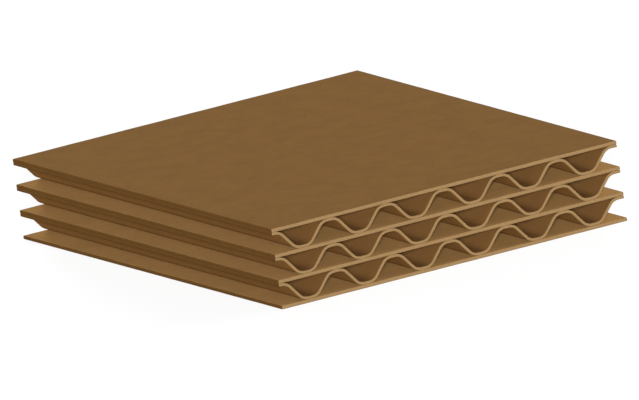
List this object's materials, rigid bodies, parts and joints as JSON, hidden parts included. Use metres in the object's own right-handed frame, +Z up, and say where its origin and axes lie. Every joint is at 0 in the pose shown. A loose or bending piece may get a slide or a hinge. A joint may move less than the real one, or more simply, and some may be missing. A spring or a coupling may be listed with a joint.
{
  "type": "triple-wall corrugated cardboard sheet",
  "caption": "Small rectangular piece of triple-wall corrugated cardboard, flat brown kraft liners with wavy fluted paper glued between them and open flute ends.",
  "frame": {"origin": "middle of the bottom face", "axes": "+X across the flutes, +Y along the flutes away from the shown front cut face, +Z up through the layers"},
  "size_m": [0.0396, 0.0534, 0.0082],
  "materials": {
    "kraft_liner": "uncoated brown kraft paper, matt",
    "kraft_fluting": "uncoated brown fluting paper, matt",
    "starch_glue": "dried starch glue soaked into brown paper, dull"
  },
  "bodies": {
    "root": {"bottom_liner": "kraft_liner", "lower_inner_liner": "kraft_liner", "upper_inner_liner": "kraft_liner", "top_liner": "kraft_liner", "lower_fluting": "kraft_fluting", "middle_fluting": "kraft_fluting", "upper_fluting": "kraft_fluting", "glue_below_lower_fluting": "starch_glue", "glue_above_lower_fluting": "starch_glue", "glue_below_middle_fluting": "starch_glue", "glue_above_middle_fluting": "starch_glue", "glue_below_upper_fluting": "starch_glue", "glue_above_upper_fluting": "starch_glue"}
  },
  "joints": []
}
